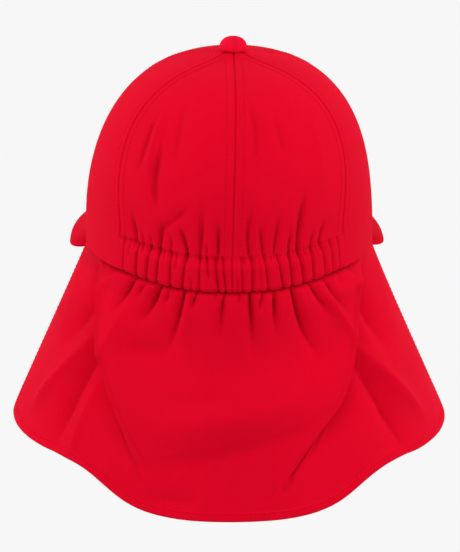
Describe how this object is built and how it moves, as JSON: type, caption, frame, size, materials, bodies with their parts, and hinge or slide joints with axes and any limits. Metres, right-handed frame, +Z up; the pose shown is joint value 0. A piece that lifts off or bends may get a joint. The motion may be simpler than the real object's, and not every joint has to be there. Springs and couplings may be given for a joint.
{
  "type": "legionnaire cap",
  "caption": "Child's soft cotton sun cap with a panelled crown, covered button, elastic gathered back, short front peak and a long flared flap that covers the neck and ears.",
  "frame": {"origin": "centre of the head opening, in the plane of the crown's lower rim", "axes": "+Z up through the crown's button, -Y forward along the peak, +Y towards the back of the head, +X towards the wearer's left"},
  "size_m": [0.234, 0.2612, 0.2279],
  "materials": {
    "crown_cloth": "red cotton twill, matt, topstitched in the same red",
    "casing_cloth": "the same red cotton, gathered over a flat elastic",
    "flap_cloth": "the same red cotton in one layer with a stitched turned hem",
    "peak_cloth": "the same red cotton over a stiff board, topstitched in rows"
  },
  "bodies": {
    "root": {"crown_panel_back_left": "crown_cloth", "crown_panel_back_right": "crown_cloth", "crown_panel_side_left": "crown_cloth", "crown_panel_side_right": "crown_cloth", "crown_panel_front_left": "crown_cloth", "crown_panel_front_right": "crown_cloth", "crown_button": "crown_cloth", "elastic_casing": "casing_cloth", "neck_flap": "flap_cloth", "peak": "peak_cloth"}
  },
  "joints": []
}
